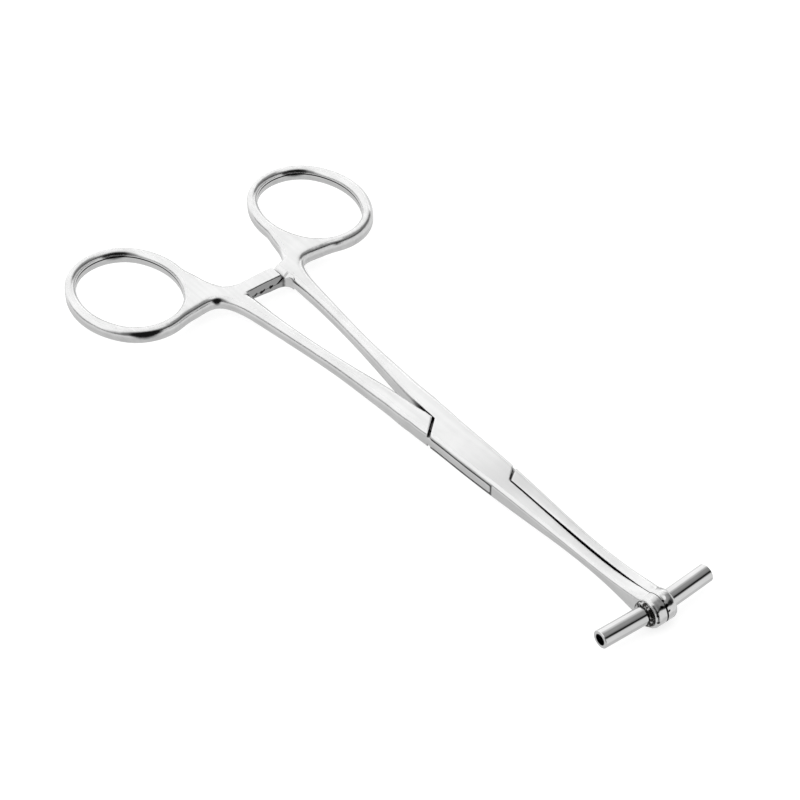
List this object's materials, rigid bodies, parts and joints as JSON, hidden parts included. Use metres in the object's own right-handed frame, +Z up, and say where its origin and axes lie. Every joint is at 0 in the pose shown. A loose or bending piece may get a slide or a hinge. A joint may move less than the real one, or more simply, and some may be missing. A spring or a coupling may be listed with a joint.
{
  "type": "piercing forceps",
  "caption": "Polished steel septum piercing forceps: box-locked halves with finger rings, a ratchet and needle guide tubes at the tips.",
  "frame": {"origin": "where the bore axes of the two guide tubes meet, on the parting plane between the closed tips", "axes": "+X along the tubes towards the side of the female half's finger ring, +Y from the tips to the finger rings, +Z up out of the flat of the forceps"},
  "size_m": [0.08, 0.1678, 0.0068],
  "materials": {
    "female_steel": "bright satin polish",
    "male_steel": "bright satin polish",
    "pin_steel": "ground flush and polished",
    "tube_steel": "polished tube, brazed joint"
  },
  "bodies": {
    "female": {"female_half": "female_steel", "box_lock_pin": "pin_steel", "guide_tube_left": "tube_steel"},
    "male": {"male_half": "male_steel", "guide_tube_right": "tube_steel"}
  },
  "joints": [
    {"name": "box_lock_pivot", "type": "hinge", "parent": "female", "child": "male", "pos_m": [0, 0.057, 0], "axis": [0, 0, 1], "range_deg": [0, 50]}
  ]
}
